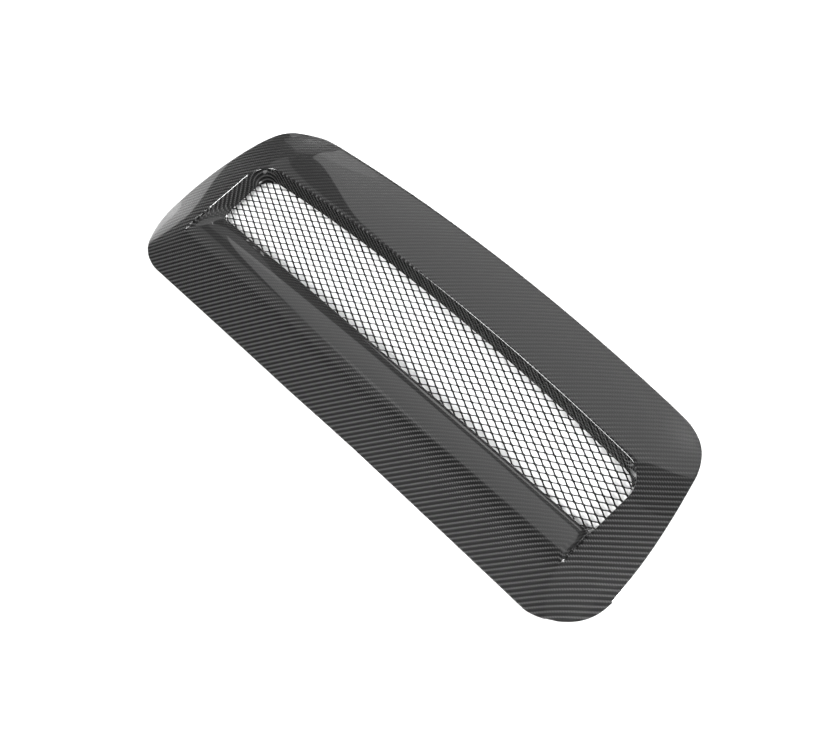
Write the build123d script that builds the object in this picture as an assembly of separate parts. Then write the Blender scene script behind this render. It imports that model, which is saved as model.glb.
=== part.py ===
from build123d import *
from math import cos, hypot, radians, tan
import os

# A long car bonnet vent: one carbon-fibre moulding with a recessed opening, a sheet of expanded
# metal behind the opening, and the bead of adhesive that holds the sheet on the hidden side.
# Millimetres. X runs along the vent, +Y points to the cowl side, +Z is up. Every height is measured
# from the crown of the bonnet arch, which falls away to both ends; at the end of the script the
# whole vent is moved so that its origin is the middle of the underside of its box.

os.makedirs("parts", exist_ok=True)

# The laminate and the bonnet that it follows
laminate = 2.0
bonnet_radius = 5700.0

# Outer rim, seen from above
rim_half_length = 420.1
rim_widest_y = -121.0
rim_end_radius = 633.0
rim_front_y = -159.0
rim_back_y = 137.1
rim_back_radius = 4200.0
rim_front_corner = 71.0
rim_back_corner = 75.0

# Heights of the rim above the bonnet arch
rim_front_height = -2.0
rim_back_height = -13.5
rim_end_height = 2.2
rim_end_crest_y = 52.0
rim_end_arch = 1087.0

# The lip round the recess and the fall of the cowl from it to the rim
lip_height = 12.5
end_panel_width = 66.1
lip_end_half_length = rim_half_length - end_panel_width
cowl_width = 83.1
lip_back_y = rim_back_y - cowl_width
lip_back_radius = 4335.0
lip_corner = 34.0
lip_rise = 0.033
lip_level_y = 40.0
cowl_crown = 0.36
crease_softness = 10.0
ridge_softness = 2.0

# The recess cut, at the height of the bonnet's crown, set in from the lip line
recess_end_inset = 0.5
recess_half_length = lip_end_half_length - recess_end_inset
recess_back_inset = 5.6
recess_back_y = lip_back_y - recess_back_inset
recess_back_radius = 7400.0
recess_front_inset = 31.0
recess_front_y = rim_front_y + recess_front_inset
recess_draft = 25.0

# The flange rises to a rounded ridge, and the ramp falls from the ridge to the mesh in three steps,
# each steeper than the one before
flange_width = 58.0
flange_slope = 0.262
crease_spread = 12.5
crease_end_half_length = lip_end_half_length + crease_spread
ridge_start_slope = 0.16
ridge_width = 12.7
ridge_radius = 55.0
ramp_slope = 0.42
ramp_width = 22.3
ramp_radius = 100.0
ramp_low_slope = 0.57
ramp_low_width = 12.5
ramp_foot_radius = 20.0
ramp_tail_slope = 0.9

# Expanded metal sheet: diamonds set out at a coarser pitch than the real sheet's
mesh_height = -7.0
mesh_thickness = 1.6
mesh_margin = 9.0
diamond_length = 50.0
diamond_width = 23.2
strand_width = 3.2
mesh_turn = 1.2
edge_land = 4.0
smallest_hole = 20.0

# Adhesive bead
bead_width = 6.0
bead_height = 4.0

# How finely the show face is sampled, along the vent and across it
skin_step_along = 14.4
skin_step_across = 8.0
skin_tolerance = 0.1

# Size of the solid blocks that the surfaces are cut from
block_depth = 90.0
block_top = 60.0
tail_depth = 55.0
arch_swing = 6.0
overrun = 12.0


def bonnet_arch(x):
    """Height of the bonnet's arch, which is highest in the middle of the vent."""
    return -x * x / (2 * bonnet_radius)


def flange_height(y):
    """The flange climbs at an even slope from the front rim."""
    return rim_front_height + flange_slope * (y - rim_front_y)


def soft_least(a, b, softness):
    """The smaller of two values, with the change from one to the other rounded off."""
    return (a + b - hypot(a - b, softness)) / 2


def lip_line_height(y):
    """The lip rises slightly along each end, towards the ridge, and meets the flange there."""
    lip = lip_height + lip_rise * -soft_least(y - lip_level_y, 0, crease_softness)
    return soft_least(lip, flange_height(y), ridge_softness)


def rounded_inside(a, b, radius):
    """Distance in from two edges whose shared corner is rounded."""
    over_a, over_b = radius - a, radius - b
    return radius - hypot(max(over_a, 0), max(over_b, 0)) - min(max(over_a, over_b), 0)


def end_reach(y):
    """Half the vent's length at a given y, along the curved end."""
    return rim_half_length - (y - rim_widest_y) ** 2 / (2 * rim_end_radius)


def inner_reach(y):
    """Half the length of the area inside the lip, or inside the creases of the flange."""
    ridge_y = (lip_height - rim_front_height) / flange_slope + rim_front_y
    share = max(0.0, (ridge_y - y) / (ridge_y - rim_front_y))
    return lip_end_half_length + (crease_end_half_length - lip_end_half_length) * share


def rim_height(y, to_end, to_back, to_front):
    """Each edge of the rim has its own height, and the nearest edge counts most."""
    end_height = rim_end_height - (y - rim_end_crest_y) ** 2 / (2 * rim_end_arch)
    heights = (end_height, rim_back_height, rim_front_height)
    weights = [1 / hypot(max(gap, 0), overrun) ** 2 for gap in (to_end, to_back, to_front)]
    return sum(h * w for h, w in zip(heights, weights)) / sum(weights)


def skin_height(x, y):
    """Height of the moulding's show face, as if the recess weren't cut."""
    reach = abs(x)
    to_end = end_reach(y) - reach
    to_back = rim_back_y - x * x / (2 * rim_back_radius) - y
    from_ends = reach - inner_reach(y)
    from_lip = y - (lip_back_y - x * x / (2 * lip_back_radius))
    outside = rounded_inside(-from_ends, -from_lip, lip_corner)
    inside = -soft_least(outside, 0, crease_softness)
    inner = lip_line_height(y)
    to_rim = -soft_least(-rounded_inside(to_end, to_back, rim_back_corner), overrun, crease_softness)
    rim = rim_height(y, to_end, to_back, y - rim_front_y)
    share = to_rim / (to_rim + inside)
    crowned = share + cowl_crown * share * (1 - share)
    return bonnet_arch(x) + rim + (inner - rim) * crowned


def spread(low, high, step):
    """Evenly spaced values from low to high, about a step apart."""
    count = round((high - low) / step)
    return [low + (high - low) * i / count for i in range(count + 1)]


def below_skin(drop):
    """Solid block under the show face, lowered by drop."""
    along = spread(-rim_half_length - overrun, rim_half_length + overrun, skin_step_along)
    across = spread(rim_front_y - overrun, rim_back_y + overrun, skin_step_across)
    rows = [[Vector(x, y, skin_height(x, y) - drop) for y in across] for x in along]
    skin = Face.make_surface_from_array_of_points(rows, tol=skin_tolerance)
    return extrude(skin, block_depth, dir=(0, 0, -1))


def rim_outline():
    """The rim from above: two curved ends, a curved back and a straight front."""
    end = Circle(rim_end_radius)
    centre_x = rim_half_length - rim_end_radius
    back = Pos(0, rim_back_y - rim_back_radius) * Circle(rim_back_radius)
    strip = Pos(0, rim_front_y + rim_half_length) * Rectangle(4 * rim_half_length, 2 * rim_half_length)
    shape = (Pos(centre_x, rim_widest_y) * end) & (Pos(-centre_x, rim_widest_y) * end) & back & strip
    corners = shape.vertices().sort_by(Axis.Y)
    shape = fillet(corners[:2], rim_front_corner)
    corners = [v for v in shape.vertices() if v.Y > 0]
    return fillet(corners, rim_back_corner)


def recess_outline(grow):
    """The recess from above, at the height of the bonnet's crown, grown outwards evenly."""
    half = recess_half_length + grow
    back = recess_back_y + grow
    depth = back - recess_front_y
    radius = recess_back_radius + grow
    box = Pos(0, back - depth / 2) * Rectangle(2 * half, depth)
    shape = box & (Pos(0, back - radius) * Circle(radius))
    corners = [v for v in shape.vertices() if v.Y > 0]
    return fillet(corners, lip_corner + grow)


def under_arch(height, y_low, y_high):
    """Solid cylinder under the bonnet's arch at the given height, between two values of y."""
    length = y_high - y_low
    middle = (y_low + y_high) / 2
    return Pos(0, middle, -bonnet_radius) * Rot(90, 0, 0) * Cylinder(bonnet_radius + height, length)


def ramp_corners():
    """Corners of the ridge and ramp in profile, from the flange to below the sheet."""
    steps = [
        (ridge_width, ridge_start_slope),
        (ramp_width, -ramp_slope),
        (ramp_low_width, -ramp_low_slope),
        (tail_depth, -ramp_tail_slope),
    ]
    ridge_start_y = rim_front_y + flange_width
    corners = [(ridge_start_y, flange_height(ridge_start_y))]
    for width, slope in steps:
        y, z = corners[-1]
        corners.append((y + width, z + width * slope))
    return corners


def opening_front():
    """Where the ramp reaches the height of the sheet."""
    y, z = ramp_corners()[3]
    return y + (z - mesh_height) / ramp_tail_slope


def moved_in(before, corner, after, inset):
    """A corner of a profile, moved square to both of its sides by inset."""
    turns = [(Vector(*b) - Vector(*a)).normalized().rotate(Axis.Z, -90) for a, b in (before, after)]
    middle = turns[0] + turns[1]
    return Vector(*corner) + middle * (2 * inset / middle.dot(middle))


def above_ramp(inset):
    """Everything above the flange, the ridge and the ramp, swept along the bonnet's arch."""
    start_y = rim_front_y - overrun
    back_y = rim_back_y + overrun
    corners = ramp_corners()
    flange_y, flange_z = corners[0]
    corners[0] = (start_y, flange_z + ridge_start_slope * (start_y - flange_y))
    sides = list(zip(corners, corners[1:]))
    ends = [sides[0]] + sides + [sides[-1]]
    inner = [moved_in(ends[i], corners[i], ends[i + 1], inset) for i in range(len(corners))]
    radii = [ridge_radius - inset, ramp_radius - inset, ramp_foot_radius - inset]
    path = FilletPolyline(*inner, radius=radii)
    tail, start = inner[-1], inner[0]
    lid = Polyline(tail, (back_y, tail.Y), (back_y, block_top), (start.X, block_top), start)
    axis = Axis((0, 0, -bonnet_radius), (0, 1, 0))
    profile = make_face(path.edges() + lid.edges())
    return revolve((Plane.YZ * profile).rotate(axis, -arch_swing), axis, 2 * arch_swing)


def recess_cut(wall, inset):
    """The recess as a solid: drafted walls on three sides, and open over the ramp."""
    low, high = -tail_depth, block_top
    draft = tan(radians(recess_draft))
    ends = [Pos(0, 0, z) * recess_outline(z * draft + wall) for z in (low, high)]
    return loft(ends, ruled=True) & above_ramp(inset)


def sheet_outline(margin):
    """A strip round the opening as the sheet sees it, margin wider than the opening."""
    shape = recess_outline(margin + mesh_height * tan(radians(recess_draft)))
    front = opening_front() - margin
    keep = Pos(0, front + recess_half_length) * Rectangle(3 * recess_half_length, 2 * recess_half_length)
    return shape & keep


def upright_block(outline):
    """An outline seen from above, as a block through the whole height of the vent."""
    return extrude(Pos(0, 0, -block_depth) * outline, 2 * block_depth)


def moulding_hollow():
    """The space under the moulding, which its underside encloses."""
    rim = upright_block(offset(rim_outline(), overrun / 2))
    wall = laminate / cos(radians(recess_draft))
    return (below_skin(laminate) & rim) - recess_cut(wall, laminate)


def make_moulding(hollow):
    """The carbon-fibre laminate, all in one: flange, ridge, ramp, recess walls, lip and cowl."""
    outer = (below_skin(0) & upright_block(rim_outline())) - recess_cut(0, 0)
    shell = outer - hollow
    below_sheet = under_arch(mesh_height, rim_front_y, rim_back_y)
    return shell - (upright_block(sheet_outline(mesh_margin)) & below_sheet)


def diamond_holes():
    """Rows of diamonds, each row half a diamond along from the last, cut off at the edge land."""
    strand = strand_width * hypot(1, diamond_length / diamond_width)
    half_long = (diamond_length - strand) / 2
    half_wide = half_long * diamond_width / diamond_length
    corners = [(half_long, 0), (0, half_wide), (-half_long, 0), (0, -half_wide)]
    diamond = make_face(Polyline(*corners, close=True))
    columns = round(recess_half_length / diamond_length) + 1
    rows = round((recess_back_y - opening_front()) / diamond_width) + 1
    places = []
    for row in range(-rows, rows + 1):
        for column in range(-columns, columns + 1):
            places.append(((column + row % 2 / 2) * diamond_length, row * diamond_width / 2))
    pattern = Sketch() + [Pos(x, y) * diamond for x, y in places]
    holes = Rot(0, 0, mesh_turn) * pattern & sheet_outline(mesh_margin - edge_land)
    return Sketch() + [hole for hole in holes.faces() if hole.area > smallest_hole]


def make_mesh():
    """One sheet of expanded metal, arched like the bonnet, with plain land round its edge."""
    front, back = rim_front_y, rim_back_y
    sheet = under_arch(mesh_height, front, back) - under_arch(mesh_height - mesh_thickness, front, back)
    return sheet & upright_block(sheet_outline(mesh_margin) - diamond_holes())


def make_bead(hollow):
    """Adhesive in the corner between the recess and the sheet, all the way round."""
    high = mesh_height + bead_height
    layer = under_arch(high, rim_front_y, rim_back_y) - under_arch(mesh_height, rim_front_y, rim_back_y)
    return layer & upright_block(sheet_outline(bead_width)) & hollow


hollow = moulding_hollow()
nodes = {
    "moulding": make_moulding(hollow),
    "mesh_panel": make_mesh(),
    "bonding_bead": make_bead(hollow),
}

box = nodes["moulding"].bounding_box()
to_origin = Pos(-box.center().X, -box.center().Y, -box.min.Z)
for name, solid in nodes.items():
    export_step(to_origin * solid, f"parts/{name}.step")
    print(name, len(solid.solids()), round(solid.volume), (to_origin * solid).bounding_box())
print("moved by", to_origin.position)
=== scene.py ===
# %% [markdown]
# # A carbon-fibre bonnet vent
#
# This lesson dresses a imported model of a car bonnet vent. The real vent is one moulding of black
# carbon fibre, about 84 cm long, with a recess that drops to a sheet of black expanded metal.
# The frame below holds the vent's pieces at their real size. Everything here is in metres.

# %% Load the frame
from functools import partial
from math import cos, hypot, pi, radians, sin, sqrt, tan

import bpy
import numpy as np
from mathutils import Matrix, Vector


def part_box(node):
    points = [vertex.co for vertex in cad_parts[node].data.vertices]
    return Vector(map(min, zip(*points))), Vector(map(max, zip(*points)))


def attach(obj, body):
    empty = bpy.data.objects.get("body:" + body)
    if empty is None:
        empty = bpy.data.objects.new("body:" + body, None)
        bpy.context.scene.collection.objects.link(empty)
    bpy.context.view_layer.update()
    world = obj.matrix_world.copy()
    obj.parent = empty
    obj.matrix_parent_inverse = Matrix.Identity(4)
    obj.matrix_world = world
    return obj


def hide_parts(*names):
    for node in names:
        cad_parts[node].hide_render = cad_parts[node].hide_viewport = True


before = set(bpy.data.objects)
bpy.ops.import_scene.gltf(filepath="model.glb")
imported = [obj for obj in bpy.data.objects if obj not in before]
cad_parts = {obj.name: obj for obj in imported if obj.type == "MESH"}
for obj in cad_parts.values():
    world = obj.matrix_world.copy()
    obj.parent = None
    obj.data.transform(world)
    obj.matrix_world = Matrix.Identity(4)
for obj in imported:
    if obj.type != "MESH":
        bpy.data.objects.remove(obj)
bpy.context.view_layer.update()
mm = 0.001


# %% [markdown]
# ## Camera
#
# The vent is seen from above and from one end, with the camera rolled over by nearly thirty
# degrees, so that the long vent runs down the picture from corner to corner. A camera is easiest to
# reason about as a place, a point that it looks at and a roll about that line.

# %% Camera
camera_place = Vector((1.1103, -0.3604, 1.6831))
camera_target = Vector((0.0469, -0.0282, 0.0200))
camera_roll = radians(-28.72)
lens_length = 72.87

bpy.ops.object.camera_add(location=camera_place)
camera = bpy.context.object
aim = (camera_target - camera_place).to_track_quat("-Z", "Y")
camera.rotation_euler = (aim.to_matrix() @ Matrix.Rotation(camera_roll, 3, "Z")).to_euler()
camera.data.lens = lens_length
bpy.context.scene.camera = camera
print("camera", round((camera_target - camera_place).length, 3), "m from the vent")


# %% [markdown]
# ## Helpers
#
# Blender's operators work on whatever is selected, so each step starts by selecting just what it
# needs. A finished piece keeps its place in its mesh, rides on the frame's body and gets one
# material for its finish.

# %% Helpers for pieces
def pick(*pieces):
    """Selects only these pieces and makes the last one active."""
    bpy.ops.object.select_all(action="DESELECT")
    for piece in pieces:
        piece.select_set(True)
        bpy.context.view_layer.objects.active = piece
    return pieces[-1]


def give_finish(piece, finish):
    """Gives a piece one finish all over."""
    piece.data.materials.clear()
    piece.data.materials.append(finish)


def finish_piece(piece, name, finish, node):
    """Names a piece, gives it its finish and lets it stand for a node of the frame."""
    piece.name = name
    piece.data.name = name
    give_finish(piece, finish)
    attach(piece, "root")
    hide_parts(node)
    print(name, len(piece.data.vertices), "vertices", len(piece.data.polygons), "faces")


# %% [markdown]
# ## A small language for materials
#
# A material is a graph of nodes. Wiring every sum by hand hides the idea, so a socket is wrapped in
# a class that understands `+`, `*` and the rest, and adds one Math node for each.

# %% Material helper
class Wire:
    """A socket that can be used in sums."""

    def __init__(self, graph, socket):
        self.graph, self.socket = graph, socket

    def math(self, operation, *values):
        """Adds a Math node."""
        return self.graph.node("ShaderNodeMath", {"operation": operation}, *values)

    def __add__(self, other):
        return self.math("ADD", self, other)

    def __radd__(self, other):
        return self.math("ADD", other, self)

    def __sub__(self, other):
        return self.math("SUBTRACT", self, other)

    def __rsub__(self, other):
        return self.math("SUBTRACT", other, self)

    def __mul__(self, other):
        return self.math("MULTIPLY", self, other)

    def __rmul__(self, other):
        return self.math("MULTIPLY", other, self)

    def __truediv__(self, other):
        return self.math("DIVIDE", self, other)

    def __lt__(self, other):
        return self.math("LESS_THAN", self, other)

    def floor(self):
        return self.math("FLOOR", self)

    def fraction(self):
        return self.math("FRACT", self)

    def sine(self):
        return self.math("SINE", self)

    def wrapped(self, size):
        return self.math("FLOORED_MODULO", self, size)

    def clamped(self):
        return self.math("MINIMUM", self, 1.0)

    def output(self, index):
        """Another output of the same node."""
        return Wire(self.graph, self.socket.node.outputs[index])


class Graph:
    """The node tree of one new material."""

    def __init__(self, name):
        self.material = bpy.data.materials.new(name)
        self.material.use_nodes = True
        self.tree = self.material.node_tree
        self.shader = self.tree.nodes["Principled BSDF"]

    def set(self, node, name, value):
        socket = node.inputs[name]
        if isinstance(value, Wire):
            self.tree.links.new(value.socket, socket)
        else:
            socket.default_value = value

    def node(self, kind, settings, *values, out=0, **named):
        """Adds a node: its settings first, then its sockets by order or by name."""
        node = self.tree.nodes.new(kind)
        for key, value in settings.items():
            setattr(node, key, value)
        for index, value in enumerate(values):
            self.set(node, index, value)
        for key, value in named.items():
            self.set(node, key.replace("_", " "), value)
        return Wire(self, node.outputs[out])

    def mix_colour(self, factor, first, second):
        """A colour between two colours."""
        mix = self.tree.nodes.new("ShaderNodeMix")
        mix.data_type = "RGBA"
        for socket, value in ((0, factor), (6, first), (7, second)):
            self.set(mix, socket, value)
        return Wire(self, mix.outputs[2])

    def shade(self, **sockets):
        """Sets the shader's own sockets."""
        for key, value in sockets.items():
            self.set(self.shader, key.replace("_", " "), value)


def grey(value):
    """A colour without a tint."""
    return (value, value, value, 1)


# %% [markdown]
# ## The moulding's shape
#
# The moulding is a thin shell whose show face is smooth enough to mirror a lamp, so its mesh has
# to be close and even, with rows of faces that run round the recess and columns that run from the
# outer rim over the lip and down the wall. The same driving sizes as the frame's give its height at
# any place in plan, measured from the crown of the bonnet's arch.

# %% Driving sizes of the moulding
laminate = 2.0 * mm
bonnet_radius = 5700 * mm
rim_half_length, rim_widest_y, rim_end_radius = 420.1 * mm, -121 * mm, 633 * mm
rim_front_y, rim_back_y, rim_back_radius = -159 * mm, 137.1 * mm, 4200 * mm
rim_front_corner, rim_back_corner = 71 * mm, 75 * mm
rim_front_height, rim_back_height = -2 * mm, -13.5 * mm
rim_end_height, rim_end_crest_y, rim_end_arch = 2.2 * mm, 52 * mm, 1087 * mm
lip_height, lip_end_half_length = 12.5 * mm, 354 * mm
lip_back_y, lip_back_radius, lip_corner = 54 * mm, 4335 * mm, 34 * mm
lip_rise, lip_level_y, cowl_crown = 0.033, 40 * mm, 0.36
lip_softness, rim_softness, ridge_softness, far_out = 4 * mm, 10 * mm, 2 * mm, 12 * mm
recess_half_length, recess_back_y, recess_back_radius = 353.5 * mm, 48.4 * mm, 7400 * mm
wall_angle = radians(25)
wall_draft = tan(wall_angle)
flange_slope, crease_end_half_length = 0.262, 366.5 * mm
mesh_height = -7 * mm

moulding_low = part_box("moulding")[0]
crown = Vector((0, moulding_low[1] - rim_front_y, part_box("mesh_panel")[1][2] - mesh_height))
print("crown of the arch", [round(value / mm, 2) for value in crown])


# %% [markdown]
# The show face is one smooth skin. A real mould is faired by hand until a lamp's reflection runs
# over it without a kink. Here the same comes from a formula: it blends the height of the outer rim
# with that of the flange and the cowl, and rounds off each place where one takes over from another.

# %% Height of the show face
def bonnet_arch(x):
    """Height of the bonnet's arch."""
    return -x * x / (2 * bonnet_radius)


def soft_least(a, b, softness):
    """The smaller of two values, with the change rounded off."""
    return (a + b - hypot(a - b, softness)) / 2


def flange_height(y):
    """The flange climbs from the front rim."""
    return rim_front_height + flange_slope * (y - rim_front_y)


def rounded_inside(a, b, radius):
    """Distance in from two edges whose shared corner is rounded."""
    over_a, over_b = radius - a, radius - b
    return radius - hypot(max(over_a, 0), max(over_b, 0)) - min(max(over_a, over_b), 0)


def inner_reach(y):
    """Half the length of the area inside the lip or between the flange's creases."""
    ridge_y = (lip_height - rim_front_height) / flange_slope + rim_front_y
    share = max(0.0, (ridge_y - y) / (ridge_y - rim_front_y))
    return lip_end_half_length + (crease_end_half_length - lip_end_half_length) * share


def rim_level(y, gaps):
    """The height of the rim near a place, where the nearest edge counts most."""
    end_height = rim_end_height - (y - rim_end_crest_y) ** 2 / (2 * rim_end_arch)
    weights = [1 / hypot(max(gap, 0), far_out) ** 2 for gap in gaps]
    heights = (end_height, rim_back_height, rim_front_height)
    return sum(h * w for h, w in zip(heights, weights)) / sum(weights)


def skin_height(x, y):
    """Height of the show face over any place in plan, as if the recess weren't there."""
    reach = abs(x)
    to_end = rim_half_length - (y - rim_widest_y) ** 2 / (2 * rim_end_radius) - reach
    to_back = rim_back_y - x * x / (2 * rim_back_radius) - y
    from_lip = y - (lip_back_y - x * x / (2 * lip_back_radius))
    within = rounded_inside(inner_reach(y) - reach, -from_lip, lip_corner)
    to_lip = -soft_least(within, 0, lip_softness)
    lip = lip_height - lip_rise * soft_least(y - lip_level_y, 0, rim_softness)
    inner = soft_least(lip, flange_height(y), ridge_softness)
    to_rim = -soft_least(-rounded_inside(to_end, to_back, rim_back_corner), far_out, rim_softness)
    rim = rim_level(y, (to_end, to_back, y - rim_front_y))
    share = to_rim / (to_rim + to_lip)
    return bonnet_arch(x) + rim + (inner - rim) * (share + cowl_crown * share * (1 - share))


by_the_lip = skin_height(0, lip_level_y)
print("the skin by the lip stands", round(by_the_lip / mm, 1), "mm over the arch's crown")


# %% [markdown]
# Along its front, the recess has no wall. The flange climbs to a rounded ridge, and a ramp falls
# from it to the mesh, steeper and steeper. A straight line with three soft bends gives that shape.
# Each bend has its place, how much steeper it makes the line, and its reach to each side.

# %% The ridge and the ramp
ramp_bends = ((-90.2 * mm, 0.682, 17 * mm), (-66 * mm, 0.15, 8 * mm), (-53.5 * mm, 0.33, 3 * mm))
ramp_top_y = ramp_bends[0][0] - ramp_bends[0][2]


def bend(distance, reach):
    """Nothing before a bend, the full distance after it, and a curve for its reach each side."""
    if abs(distance) >= reach:
        return max(distance, 0)
    return (distance + reach) ** 2 / (4 * reach)


def ramp_height(y):
    """Height of the ridge and ramp over the bonnet's arch."""
    fall = sum(turn * bend(y - place, reach) for place, turn, reach in ramp_bends)
    return flange_height(y) - fall


ramp_end_y = ramp_bends[-1][0]
search_step = 0.05 * mm
while ramp_height(ramp_end_y) > mesh_height:
    ramp_end_y += search_step
print("the ramp meets the mesh at y =", round(ramp_end_y / mm, 2))


# %% [markdown]
# The outer rim is a chain of arcs. Only its right half is drawn, from the middle of the front to
# the middle of the back, because the left half is its mirror image. Three landmarks on it say which
# part of the rim belongs to the front, the end, the corner and the back.

# %% The outer rim
def arc(centre, radius, start, stop, count=400):
    """Points on an arc, from one angle to another."""
    angles = np.linspace(start, stop, count)
    x = centre[0] + radius * np.cos(angles)
    y = centre[1] + radius * np.sin(angles)
    return np.stack([x, y], axis=1)


def angle_of(centre, point):
    """Direction from a centre to a point."""
    return float(np.arctan2(point[1] - centre[1], point[0] - centre[0]))


def meeting(first, first_radius, second, second_radius):
    """The right-hand point that lies at two distances from two centres."""
    across = np.subtract(second, first)
    gap = float(np.hypot(*across))
    along = (first_radius**2 - second_radius**2 + gap**2) / (2 * gap)
    off = sqrt(first_radius**2 - along**2)
    normal = np.array([-across[1], across[0]]) / gap
    options = [np.add(first, across / gap * along) + side * off * normal for side in (1, -1)]
    return max(options, key=lambda point: point[0])


end_centre = np.array([rim_half_length - rim_end_radius, rim_widest_y])
back_centre = np.array([0, rim_back_y - rim_back_radius])
front_y = rim_front_y + rim_front_corner
front_rise = front_y - rim_widest_y
front_x = end_centre[0] + sqrt((rim_end_radius - rim_front_corner) ** 2 - front_rise**2)
front_corner = np.array([front_x, front_y])
back_corner = meeting(
    end_centre, rim_end_radius - rim_back_corner, back_centre, rim_back_radius - rim_back_corner
)
crease_angle = -pi / 2 + np.arcsin((crease_end_half_length - front_x) / rim_front_corner)
front_turn = angle_of(end_centre, front_corner)
back_turn = angle_of(end_centre, back_corner)
cowl_turn = angle_of(back_centre, back_corner)
rim_spans = {
    "front": np.vstack([
        [[0, rim_front_y]],
        arc(front_corner, rim_front_corner, -pi / 2, crease_angle),
    ]),
    "end": np.vstack([
        arc(front_corner, rim_front_corner, crease_angle, front_turn),
        arc(end_centre, rim_end_radius, front_turn, back_turn),
    ]),
    "corner": arc(back_corner, rim_back_corner, back_turn, cowl_turn),
    "back": arc(back_centre, rim_back_radius, cowl_turn, pi / 2),
}


def rim_point(span, share):
    """A point of the rim, at a share of the length of one of its spans."""
    points = rim_spans[span]
    steps = np.hypot(*np.diff(points, axis=0).T)
    length = np.concatenate([[0], np.cumsum(steps)])
    at = share * length[-1]
    return np.array([np.interp(at, length, points[:, 0]), np.interp(at, length, points[:, 1])])


print("rim corners", front_corner.round(4), back_corner.round(4))


# %% [markdown]
# The recess wall leans outwards, so each point of it depends on its height. The lip is where the
# wall comes up through the show face: a few steps of trying a height and correcting it find it.

# %% The recess wall
corner_x = recess_half_length - lip_corner
corner_y = (
    recess_back_y - recess_back_radius
    + sqrt((recess_back_radius - lip_corner) ** 2 - corner_x**2)
)
back_pivot = np.array([0, recess_back_y - recess_back_radius])
back_swing = np.arctan2(corner_x, corner_y - back_pivot[1])
lip_tries, junction_tries = 6, 4


def wall_end(y, height):
    """The wall at the end of the recess."""
    return np.array([recess_half_length + height * wall_draft, y])


def wall_corner(share, height):
    """The wall round the recess's corner, from the end to the back."""
    angle = share * (pi / 2 - back_swing)
    reach = lip_corner + height * wall_draft
    return np.array([corner_x, corner_y]) + reach * np.array([cos(angle), sin(angle)])


def wall_back(share, height):
    """The wall along the back of the recess, from the middle outwards as share goes from 0 to 1."""
    angle = share * back_swing
    reach = recess_back_radius + height * wall_draft
    return back_pivot + reach * np.array([sin(angle), cos(angle)])


def lip_level(wall):
    """Height at which a wall meets the show face."""
    height = 0.0
    for _ in range(lip_tries):
        height = skin_height(*wall(height))
    return height


def junction(share):
    """Where the ramp meets the end wall, from the ridge down to the mesh."""
    y = ramp_top_y + (ramp_end_y - ramp_top_y) * share
    x = recess_half_length
    top = wall_end(ramp_top_y, lip_level(partial(wall_end, ramp_top_y)))
    settle = (skin_height(*top) - ramp_height(ramp_top_y) - bonnet_arch(top[0])) * (1 - share) ** 2
    for _ in range(junction_tries):
        height = ramp_height(y) + bonnet_arch(x) + settle
        x = wall_end(y, height)[0]
    return np.array([x, y, height])


print("the recess's corner turns about", round(corner_x, 4), round(corner_y, 4))


# %% [markdown]
# The shell is built in eight patches. Each starts as a flat grid from Blender's own primitive, with
# one unit across and one unit up. Its vertices are then carried to their places: across the grid is
# along the recess, and up the grid is from the rim to the lip, and then down into the recess. The
# cloth's own coordinates are worked out at the same time. On the wall they go on from the lip by
# the length of wall, so that the weave folds over the lip as real cloth does.

# %% Points of the show face and of the plain walls
lip_row = 0.5
lip_reach, blend_reach = 2 * mm, 12 * mm
panel_rows, lip_rows, wall_rows = 24, 6, 24
all_rows = panel_rows + lip_rows + wall_rows
junctions = {}


def junction_at(share):
    """The same as junction, but each place is worked out once."""
    key = round(share, 6)
    if key not in junctions:
        junctions[key] = junction(share)
    return junctions[key]


def panel(lip, rim, share):
    """A point of the show face between the rim and the lip, and its place in the cloth."""
    x, y = rim + (lip - rim) * share
    return (x, y, skin_height(x, y)), (x, y)


def on_wall(wall, share):
    """A point of the wall, and its place in the cloth."""
    top_height = lip_level(wall)
    top = wall(top_height)
    depth = top_height - bonnet_arch(top[0]) - mesh_height
    height = top_height - depth * share
    here = wall(height)
    run = top - here
    plan = float(np.hypot(*run))
    outward = run / plan if plan > 0 else np.zeros(2)
    cloth = top + outward * hypot(plan, depth * share)
    return (here[0], here[1], height), tuple(cloth)


print("the end wall runs down from", junction_at(0).round(4), "to", junction_at(1).round(4))


# %% [markdown]
# The hard place is where the ramp runs into the end wall. On the real vent the cloth can't be
# pressed into a sharp corner there, so a soft curve fills it. It starts from nothing at the ridge
# and grows down the ramp. The rows of the ramp and of the end wall meet along that corner, so both
# are set out from the same points.

# %% The ramp, the end wall and the corner between them
ramp_lip_share = lip_reach / hypot(*(junction_at(1) - junction_at(0)))
blend_growth, length_steps = 0.4, 12


def blend_size(share):
    """How far the corner between ramp and wall is filled: nothing at the ridge, then all of it."""
    rise = min(max(share - ramp_lip_share, 0) / blend_growth, 1)
    return blend_reach * rise * rise * (3 - 2 * rise)


def wall_start(share):
    """Where the end wall comes out of the filled corner, as a share of its length."""
    return 2 * blend_size(share) / (corner_y - junction_at(share)[1])


def curve_weights(along):
    """How much each of three places counts on a curve from the first to the last."""
    return ((1 - along) ** 2, 2 * along * (1 - along), along**2)


def ramp_point(side, share, back):
    """A point of the ridge or ramp, back from the end wall by a distance, and its cloth."""
    top, end = junction_at(0), junction_at(share)
    x, y = side * (end[0] - back), end[1]
    settle = skin_height(side * top[0], top[1]) - ramp_height(top[1]) - bonnet_arch(side * top[0])
    height = ramp_height(y) + bonnet_arch(x) + settle * (1 - share) ** 2
    steps = np.linspace(top[1], y, length_steps)
    length = sum(hypot(b - a, ramp_height(b) - ramp_height(a)) for a, b in zip(steps, steps[1:]))
    return (x, y, height), (x, top[1] + length)


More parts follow.
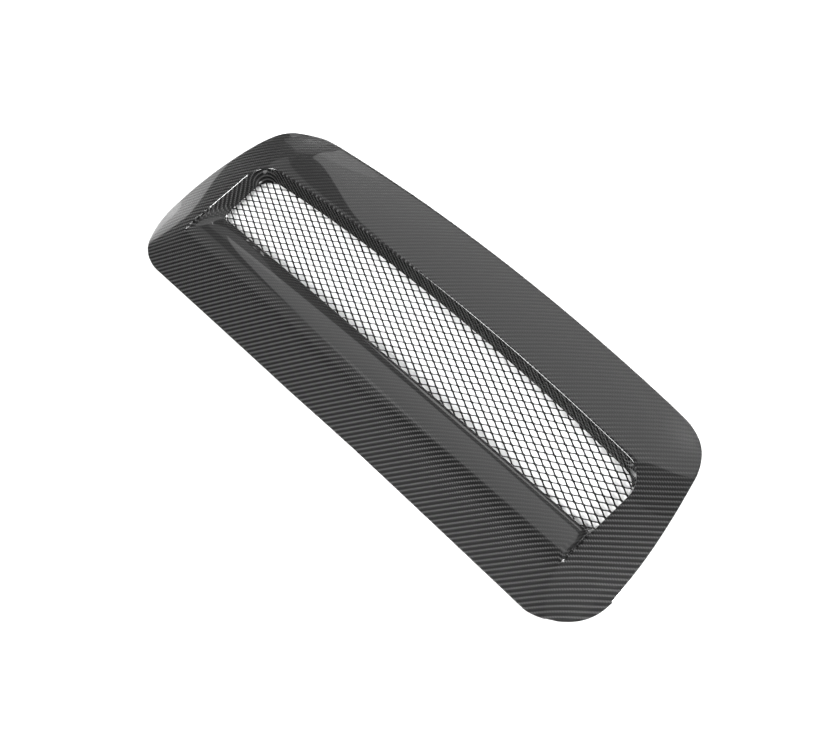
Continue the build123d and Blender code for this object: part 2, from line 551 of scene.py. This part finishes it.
def end_wall_point(across, share):
    """A point of the right-hand end wall. Its rows start on the ramp's corner and end level."""
    first, side, last = junction_at(0), junction_at(share), junction_at(1)
    fallen = (first[2] - side[2]) / (first[2] - last[2])
    top_y = first[1] + (corner_y - first[1]) * across
    top_height = lip_level(partial(wall_end, top_y)) if across > 0 else first[2]
    bottom = mesh_height + bonnet_arch(wall_end(top_y, top_height)[0])
    height = top_height - (top_height - bottom) * (fallen + (share - fallen) * across)
    if across <= 0:
        height = side[2]
    y = side[1] + (corner_y - side[1]) * across
    x = wall_end(y, height)[0]
    top_x = wall_end(top_y, top_height)[0]
    return (x, y, height), (top_x + hypot(top_x - x, top_height - height), y)


def blend_patch(across, down):
    """The filled corner between the ramp and the right-hand wall."""
    share = ramp_lip_share + (1 - ramp_lip_share) * down
    places = (
        ramp_point(1, share, blend_size(share)),
        (junction_at(share), None),
        end_wall_point(wall_start(share), share),
    )
    weights = curve_weights(across)
    point = sum(weight * np.array(place[0]) for weight, place in zip(weights, places))
    cloth = np.array(places[0][1]) * (1 - across) + np.array(places[2][1]) * across
    return tuple(point), tuple(cloth)


print("the ramp's lip takes", round(100 * ramp_lip_share, 1), "% of the ramp")


# %% [markdown]
# Each other patch is a panel of the show face above and a wall or the ramp below. The lip is
# halfway down its grid, so one number says how far down a vertex is, on either side of the lip.

# %% The end, the corner, the back and the front
def end_patch(across, down):
    """The end panel and the end wall, on the right."""
    if down > lip_row:
        share = (down - lip_row) / (1 - lip_row)
        start = wall_start(share)
        return end_wall_point(start + (1 - start) * across, share)
    first = junction_at(0)
    y = first[1] + (corner_y - first[1]) * across
    height = lip_level(partial(wall_end, y)) if across > 0 else first[2]
    return panel(wall_end(y, height), rim_point("end", across), down / lip_row)


def corner_patch(across, down):
    """The cowl's corner and the wall round it, on the right."""
    wall = partial(wall_corner, across)
    if down <= lip_row:
        return panel(wall(lip_level(wall)), rim_point("corner", across), down / lip_row)
    return on_wall(wall, (down - lip_row) / (1 - lip_row))


def back_patch(across, down):
    """The cowl and the back wall, from the right corner to the left one."""
    side = 1 - 2 * across
    wall = partial(wall_back, side)
    if down > lip_row:
        return on_wall(wall, (down - lip_row) / (1 - lip_row))
    rim = rim_point("back", 1 - abs(side)) * (1 if side >= 0 else -1, 1)
    return panel(wall(lip_level(wall)), rim, down / lip_row)


def front_patch(across, down):
    """The flange, the ridge and the ramp, from the left end to the right one."""
    side = 2 * across - 1
    top = junction_at(0)
    if down <= lip_row:
        rim = rim_point("front", abs(side)) * (1 if side >= 0 else -1, 1)
        return panel(np.array([side * top[0], top[1]]), rim, down / lip_row)
    share = (down - lip_row) / (1 - lip_row)
    end = junction_at(share)[0] - blend_size(share)
    return ramp_point(1 if side >= 0 else -1, share, junction_at(share)[0] - abs(side) * end)


print("the middle of the lip is at", np.round(back_patch(0.5, lip_row)[0], 4))


# %% [markdown]
# Cloth can't turn a sharp edge, so the lip is rounded over, and a lamp draws a thin line of light
# along it. A Bevel modifier is the usual way, but it makes rough work of the place where the lip
# runs out into the ridge. So each patch with a lip keeps a few rows for a curve that leaves the
# show face, bends towards the lip and joins the wall.

# %% The rounded lip
low_wall_part, ridge_fade = 0.6, 0.05


def curve(first, middle, last, along):
    """A point, with its place in the cloth, on a curve that leaves one line and joins another."""
    weights, places = curve_weights(along), (first, middle, last)
    return tuple(
        tuple(
            sum(weight * place[part][axis] for weight, place in zip(weights, places))
            for axis in range(3 - part)
        )
        for part in (0, 1)
    )


def end_wall_top(across, lip, last):
    """Where the rounded lip joins the end wall: straight below the lip, less far on a low wall."""
    (x, y, height), cloth = lip
    foot = bonnet_arch(x) + (ramp_height(y) if y < ramp_end_y else mesh_height)
    drop = min(lip_reach * cos(wall_angle), low_wall_part * max(height - foot, 0))
    new = (wall_end(y, height - drop)[0], y, height - drop)
    new_cloth = (cloth[0] + drop / cos(wall_angle), y)
    share = min(across / ridge_fade, 1)
    return tuple(
        tuple(before + (after - before) * share for before, after in zip(*pair))
        for pair in ((last[0], new), (last[1], new_cloth))
    )


def rounded_lip(patch, ramp_part, wall_top=None):
    """The same patch with its lip rounded over. How much of a column is ramp says where it ends."""
    ends = {}

    def place(across, down):
        row = round(down * all_rows)
        if across not in ends:
            rim, lip, foot = patch(across, 0), patch(across, lip_row), patch(across, 1)
            start = 1 - lip_reach / hypot(*np.subtract(lip[0], rim[0]))
            stop = (1 - ramp_part(across)) * lip_reach / hypot(*np.subtract(foot[0], lip[0]))
            stop += ramp_part(across) * ramp_lip_share
            old = patch(across, lip_row + (1 - lip_row) * stop)
            last = wall_top(across, lip, old) if wall_top else old
            ends[across] = (start, stop, patch(across, lip_row * start), lip, old, last)
        start, stop, first, lip, old, last = ends[across]
        if row <= panel_rows:
            return patch(across, lip_row * start * row / panel_rows)
        if row < panel_rows + lip_rows:
            return curve(first, lip, last, (row - panel_rows) / lip_rows)
        share = (row - panel_rows - lip_rows) / wall_rows
        point = patch(across, lip_row + (1 - lip_row) * (stop + (1 - stop) * share))
        return tuple(
            tuple(
                value + (after - before) * (1 - share) ** 2
                for value, before, after in zip(point[part], old[part], last[part])
            )
            for part in (0, 1)
        )

    return place


def mirrored(patch):
    """The same patch on the left. The cloth isn't mirrored: its coordinates are where it lies."""

    def place(across, down):
        (x, y, z), (cloth_x, cloth_y) = patch(across, down)
        return (-x, y, z), (-cloth_x, cloth_y)

    return place


# %% [markdown]
# Now the eight grids are added, carried to their places and joined, and their shared edges are
# merged. Neighbours have the same number of rows along an edge that they share, so their vertices
# meet and the shell comes out as one surface without a seam.

# %% Build the shell
front_shape = rounded_lip(front_patch, lambda across: 1)
end_shape = rounded_lip(end_patch, lambda across: 1 - across, end_wall_top)
corner_shape = rounded_lip(corner_patch, lambda across: 0)
back_shape = rounded_lip(back_patch, lambda across: 0)
front_columns, back_columns = 182, 166
end_columns, blend_columns, corner_columns = 40, 8, 18
patches = (
    (front_shape, front_columns, all_rows),
    (end_shape, end_columns, all_rows),
    (blend_patch, blend_columns, wall_rows),
    (corner_shape, corner_columns, all_rows),
    (back_shape, back_columns, all_rows),
    (mirrored(corner_shape), corner_columns, all_rows),
    (mirrored(end_shape), end_columns, all_rows),
    (mirrored(blend_patch), blend_columns, wall_rows),
)
weld_distance = 0.02 * mm
cowl_middle = Vector((0, 0.11, 0.02))


def carry(grid, place):
    """Carries a unit grid's vertices to their places and writes down the cloth's."""
    mesh = grid.data
    flat = np.array([vertex.co[:2] for vertex in mesh.vertices]) + 0.5
    places = [place(min(max(round(u, 6), 0), 1), min(max(v, 0), 1)) for u, v in flat.tolist()]
    for vertex, (point, cloth) in zip(mesh.vertices, places):
        vertex.co = Vector(point) + crown
    uv = mesh.uv_layers.active or mesh.uv_layers.new()
    uv.name = "cloth"
    for loop in mesh.loops:
        uv.uv[loop.index].vector = places[loop.vertex_index][1]


shell_parts = []
for place, columns, rows in patches:
    bpy.ops.mesh.primitive_grid_add(x_subdivisions=columns, y_subdivisions=rows, size=1)
    grid = bpy.context.object
    carry(grid, place)
    shell_parts.append(grid)
shell = pick(*shell_parts)
bpy.ops.object.join()
bpy.ops.object.mode_set(mode="EDIT")
bpy.ops.mesh.select_all(action="SELECT")
bpy.ops.mesh.remove_doubles(threshold=weld_distance)
bpy.ops.mesh.dissolve_degenerate(threshold=weld_distance)
bpy.ops.mesh.select_all(action="SELECT")
bpy.ops.mesh.normals_make_consistent(inside=False)
bpy.ops.object.mode_set(mode="OBJECT")
cowl_face = min(shell.data.polygons, key=lambda face: (face.center - cowl_middle).length)
if cowl_face.normal.z < 0:
    shell.data.flip_normals()
print("shell", len(shell.data.vertices), "vertices, cowl faces", cowl_face.normal.to_tuple(2))


# %% [markdown]
# Solidify grows the laminate from the show face down, so the face itself keeps its shape. The real
# rim is cut and sanded, which takes its edges off, so a narrow bevel rounds them here.

# %% Give the shell its thickness
def bevel(piece, name, width, segments, **settings):
    """Adds a bevel and applies it."""
    modifier = piece.modifiers.new(name, "BEVEL")
    modifier.width = width
    modifier.segments = segments
    for key, value in settings.items():
        setattr(modifier, key, value)
    bpy.ops.object.modifier_apply(modifier=name)


def solidify(piece, name, thickness, **settings):
    """Adds a thickness to a surface and applies it."""
    modifier = piece.modifiers.new(name, "SOLIDIFY")
    modifier.thickness = thickness
    for key, value in settings.items():
        setattr(modifier, key, value)
    bpy.ops.object.modifier_apply(modifier=name)


pick(shell)
solidify(shell, "laminate", laminate, offset=-1)
bevel(
    shell, "rim rounding", width=0.4 * mm, segments=2,
    limit_method="ANGLE", angle_limit=radians(60),
)
bpy.ops.object.shade_smooth_by_angle(angle=radians(40))
print("the shell is", [round(value / mm, 1) for value in shell.dimensions], "mm overall")


# %% [markdown]
# Each tow of real cloth shines in its own direction, so the weave stands out on the flange and
# nearly vanishes on the cowl and the ramp, which lean back. Working that out from the fibres would
# need a special shader. Instead a value kept at each vertex fades the painted sheen of the weave
# into one even grey, so the colour is painted by which way the skin faces: it is 0 where the skin
# faces up or to the front, and 1 where it leans back by 13 degrees or more.

# %% How far the skin leans back
lean = shell.data.attributes.new("lean", "FLOAT", "POINT")
full_lean = 0.22
for vertex in shell.data.vertices:
    lean.data[vertex.index].value = min(max(vertex.normal.y / full_lean, 0), 1)
leaning = sum(item.value == 1 for item in lean.data)
print(leaning, "of", len(lean.data), "vertices lean back all the way")


# %% [markdown]
# ## Carbon cloth under clear gloss
#
# The cloth is a two-by-two twill of 2 mm tows: each tow passes over two and under two, one step
# further along in each row, which makes the slanting ribs. The fibres are dark, and catch the light
# differently where they run along the vent and across it. That shine is painted into the colour:
# a painted sheen makes the tows along the vent light and those across it dark. Each tow is also
# painted lighter on its crest and darker towards its edges and ends, a painted highlight and
# painted shade that follow its relief. A smooth clear coat lies over all. The pattern is worked
# out in the cloth's own coordinates, in metres, so its tows are as wide as real ones.

# %% Carbon material
tow = 2.0 * mm
tow_relief = 0.22 * mm
# Painted sheen and painted shade: tows along the vent are painted light, tows across dark, gaps
# darker.
painted_gap_shade, lengthways_sheen_grey, crossways_shade_grey, sheen_faded_grey = grey(0.001), grey(0.054), grey(0.003), grey(0.008)
# The even grey above and this share fade the painted sheen where the skin leans back.
sheen_fade_by_lean = 0.75


def carbon():
    """Twill under clear gloss, with a painted sheen: light tows along the vent, dark ones across.
    """
    graph = Graph("carbon twill")
    cloth = graph.node("ShaderNodeUVMap", {"uv_map": "cloth"})
    parts = graph.node("ShaderNodeSeparateXYZ", {}, cloth)
    along = parts / tow
    across = parts.output(1) / tow
    step = along.floor() - across.floor()
    lengthways = step.wrapped(4) < 1.5
    run_along = ((along - across.floor()).wrapped(4) / 2).clamped()
    run_across = ((across - along.floor() + 2).wrapped(4) / 2).clamped()
    long_tow = (across.fraction() * pi).sine() * (run_along * pi).sine()
    cross_tow = (along.fraction() * pi).sine() * (run_across * pi).sine()
    height = lengthways * long_tow + (1 - lengthways) * cross_tow
    lean = graph.node("ShaderNodeAttribute", {"attribute_name": "lean"}, out=2)
    # The tow's height paints a highlight on its crest and shade towards its edges and ends.
    light = graph.mix_colour(height, painted_gap_shade, lengthways_sheen_grey)
    dark = graph.mix_colour(height, painted_gap_shade, crossways_shade_grey)
    weave_and_sheen = graph.mix_colour(lengthways, dark, light)
    relief = graph.node("ShaderNodeBump", {}, Strength=1.0, Distance=tow_relief, Height=height)
    # Base colour: the weave with its painted sheen, faded to even grey by which way the skin faces.
    graph.shade(
        Base_Color=graph.mix_colour(sheen_fade_by_lean * lean, weave_and_sheen, sheen_faded_grey),
        Roughness=0.45 - 0.1 * lengthways,
        Specular_IOR_Level=0.1,
        Normal=relief,
        Coat_Weight=1.0,
        Coat_Roughness=0.02,
        Coat_IOR=1.5,
    )
    return graph.material


finish_piece(shell, "carbon_moulding", carbon(), "moulding")


# %% [markdown]
# ## Expanded metal
#
# Expanded metal is one sheet, slit in staggered rows and pulled until each slit opens into a
# diamond. Each strand is a flat ribbon that leans over. At a diamond's sharp ends two strands stay
# joined in a short bond, twice as wide as one strand. One bond with its four half strands is
# modelled, and copies of it at the sheet's pitch make the sheet, curved to the bonnet's arch. A
# half strand is drawn out in two steps, the first one flatter, so that it curves out of its bond.

# %% One bond and its four half strands
long_way, short_way = 19.0 * mm, 8.83 * mm
strand_width, strand_thickness, bond_half = 1.7 * mm, 1.05 * mm, 0.8 * mm
strand_tilt = radians(-52)
across_strand = Vector((0, cos(strand_tilt), sin(strand_tilt))) * strand_width
strand_steps = (Vector((0.4, 0.26, 0.26)), Vector((0.6, 0.74, 0.74)))
near = 0.001 * mm


def select_edge(piece, test):
    """Selects the edges whose two ends both pass a test of their place."""
    bpy.ops.mesh.select_all(action="DESELECT")
    bpy.ops.object.mode_set(mode="OBJECT")
    for edge in piece.data.edges:
        edge.select = all(test(piece.data.vertices[index].co) for index in edge.vertices)
    bpy.ops.object.mode_set(mode="EDIT")


bpy.ops.object.select_all(action="DESELECT")
bpy.ops.mesh.primitive_grid_add(x_subdivisions=1, y_subdivisions=2, size=1)
sheet = bpy.context.object
bpy.ops.object.mode_set(mode="EDIT")
bpy.ops.mesh.select_all(action="SELECT")
bpy.ops.transform.resize(value=(2 * bond_half, 2 * strand_width, 1))
bpy.ops.transform.rotate(value=-strand_tilt, orient_axis="X", center_override=(0, 0, 0))
bpy.ops.mesh.select_mode(type="EDGE")
for right in (1, -1):
    for upper in (1, -1):
        select_edge(
            sheet,
            lambda place: abs(place.x - right * bond_half) < near and place.y * upper > -near,
        )
        way = Vector((
            right * (long_way / 4 - bond_half),
            upper * (short_way / 4 - across_strand.y / 2),
            -upper * across_strand.z / 2,
        ))
        for part in strand_steps:
            step = Vector(way[axis] * part[axis] for axis in range(3))
            bpy.ops.mesh.extrude_edges_move(TRANSFORM_OT_translate={"value": step})
bpy.ops.object.mode_set(mode="OBJECT")
print("one bond spans", [round(value / mm, 2) for value in sheet.dimensions])


# %% [markdown]
# The bonds sit in staggered rows, so a second bond is set half a pitch along and half a pitch up,
# and two arrays repeat the pair. The sheet is turned a little, as it was laid in the real vent, and
# trimmed one straight cut after another, each cut just outside the edge of the recess.

# %% The sheet
sheet_turn = radians(1.17)
sheet_shift = Vector((29.06 * mm, 2.305 * mm, 0))
sheet_margin = 8 * mm
sheet_columns, sheet_rows = 40, 13
back_cuts, corner_cuts = 9, (0.25, 0.5, 0.75)
overlap = mesh_height * wall_draft + sheet_margin


def array(piece, name, count, step):
    """Repeats a piece in a straight line."""
    modifier = piece.modifiers.new(name, "ARRAY")
    modifier.count = count
    modifier.use_relative_offset = False
    modifier.use_constant_offset = True
    modifier.constant_offset_displace = step
    bpy.ops.object.modifier_apply(modifier=name)


def trim(piece, point, outward):
    """Cuts off what lies past a point, square to a direction."""
    bpy.ops.object.mode_set(mode="EDIT")
    bpy.ops.mesh.select_all(action="SELECT")
    bpy.ops.mesh.bisect(plane_co=point, plane_no=outward, clear_outer=True)
    bpy.ops.object.mode_set(mode="OBJECT")


def trim_to_wall(wall, share, side=1):
    """Trims the sheet just outside the recess wall, at one place along it."""
    place = wall(share, 0)
    outward = wall(share, 1) - place
    outward = outward / np.hypot(*outward) * (side, 1)
    trim(sheet, (*(place * (side, 1) + outward * overlap), 0), (*outward, 0))


pick(sheet)
array(sheet, "stagger", 2, (long_way / 2, short_way / 2, 0))
array(sheet, "along", sheet_columns, (long_way, 0, 0))
array(sheet, "across", sheet_rows, (0, short_way, 0))
bpy.ops.object.mode_set(mode="EDIT")
bpy.ops.mesh.select_all(action="SELECT")
bpy.ops.mesh.remove_doubles(threshold=weld_distance)
middle = Vector((sheet_columns // 2 * long_way, sheet_rows // 2 * short_way, 0))
bpy.ops.transform.translate(value=sheet_shift - middle)
bpy.ops.transform.rotate(value=-sheet_turn, orient_axis="Z", center_override=sheet_shift)
bpy.ops.object.mode_set(mode="OBJECT")

trim(sheet, (0, ramp_end_y - sheet_margin, 0), (0, -1, 0))
for side in (1, -1):
    trim(sheet, (side * (recess_half_length + overlap), 0, 0), (side, 0, 0))
for share in np.linspace(-1, 1, back_cuts):
    trim_to_wall(wall_back, share)
for side in (1, -1):
    for share in corner_cuts:
        trim_to_wall(wall_corner, share, side)
drop = strand_width * abs(sin(strand_tilt)) + strand_thickness / 2
for vertex in sheet.data.vertices:
    vertex.co += crown + Vector((0, 0, mesh_height - drop + bonnet_arch(vertex.co.x)))
pick(sheet)
solidify(sheet, "gauge", strand_thickness, offset=0)
print("the sheet is", [round(value / mm, 1) for value in sheet.dimensions], "mm overall")


# %% [markdown]
# The sheet is steel with a thin black satin coating. The bead of adhesive is laid by hand from a
# nozzle, so its surface is uneven. Both are one colour with a fine grain, which shows only in how
# rough and how bumpy they are. The bead's shape in the frame is right, so it stays and only gets a
# finish.

# %% Mesh and adhesive materials
def black_coating():
    """Satin black with a fine grain."""
    graph = Graph("black coated steel")
    place = graph.node("ShaderNodeTexCoord", {}, out=3)
    grain = graph.node("ShaderNodeTexNoise", {}, Vector=place, Scale=900.0, Detail=3.0)
    relief = graph.node("ShaderNodeBump", {}, Strength=0.2, Distance=0.05 * mm, Height=grain)
    graph.shade(
        Base_Color=grey(0.004),
        Roughness=0.45 + 0.2 * grain,
        Specular_IOR_Level=0.12,
        Normal=relief,
    )
    return graph.material


def adhesive():
    """Rubbery black with low waves."""
    graph = Graph("black adhesive")
    place = graph.node("ShaderNodeTexCoord", {}, out=3)
    waves = graph.node("ShaderNodeTexNoise", {}, Vector=place, Scale=160.0, Detail=4.0)
    relief = graph.node("ShaderNodeBump", {}, Strength=0.5, Distance=0.6 * mm, Height=waves)
    graph.shade(Base_Color=grey(0.02), Roughness=0.45 + 0.25 * waves, Normal=relief)
    return graph.material


finish_piece(sheet, "expanded_sheet", black_coating(), "mesh_panel")
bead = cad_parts["bonding_bead"]
give_finish(bead, adhesive())
print("bead", len(bead.data.polygons), "faces, with a new finish")


# %% [markdown]
# ## Studio
#
# The vent lies on a plain white table that fills the picture, so one wide white floor is enough.
# The Standard view keeps it plain white, where Blender's usual view would turn it grey.

# %% Table
table_width, table_drop = 40, 0.5 * mm
bpy.ops.mesh.primitive_plane_add(size=table_width, location=(0, 0, -table_drop))
floor = bpy.context.object
floor.name = "floor"
floor_graph = Graph("white table")
floor_graph.shade(Base_Color=grey(0.86), Roughness=1.0, Specular_IOR_Level=0.0)
give_finish(floor, floor_graph.material)
bpy.context.scene.view_settings.view_transform = "Standard"
print("table", table_width, "m wide")


# %% [markdown]
# A glossy black part shows little of its own colour: what it shows is the lamps, so where they
# stand matters more than how bright they are. The first five lamps are large and soft, and are what
# the skin mirrors. The gap between the softbox and the far panel shows as a dark blade at the far
# end of the cowl. The four keys are small and bright, and draw thin lines of light along the lip.

# %% Lamps
lamp_distance = 6.0
sky_strength = 0.15


def lamp(name, azimuth, elevation, width, height, radiance):
    """A soft rectangular lamp that faces the vent. Its place and size are angles in degrees."""
    a, e = radians(azimuth), radians(elevation)
    place = Vector((cos(a) * cos(e), sin(a) * cos(e), sin(e))) * lamp_distance
    bpy.ops.object.light_add(type="AREA", location=place)
    light = bpy.context.object
    light.name = name
    light.data.shape = "RECTANGLE"
    light.data.size = 2 * lamp_distance * tan(radians(width / 2))
    light.data.size_y = 2 * lamp_distance * tan(radians(height / 2))
    light.data.energy = radiance * pi * light.data.size * light.data.size_y
    light.rotation_euler = (-place).to_track_quat("-Z", "Y").to_euler()
    print(name, "at", [round(value, 2) for value in place], round(light.data.energy), "W")


lamp("softbox", 117.5, 39, 44, 42, 1.05)
lamp("softbox wing", 141, 9, 12, 22, 0.33)
lamp("far panel", 164, 42, 25, 36, 0.42)
lamp("far wall", 182, 5, 36, 10, 1.5)
lamp("near ceiling", -5, 75, 36, 32, 0.2)
lamp("lip key", -123, 42, 20, 14, 40)
lamp("end key", 9, 38, 15, 16, 75)
lamp("low key", -63, 58, 16, 14, 35)
lamp("back key", 75, 15, 24, 12, 60)
world = bpy.data.worlds.new("studio")
bpy.context.scene.world = world
world.use_nodes = True
background = world.node_tree.nodes["Background"]
background.inputs["Color"].default_value = grey(1)
background.inputs["Strength"].default_value = sky_strength
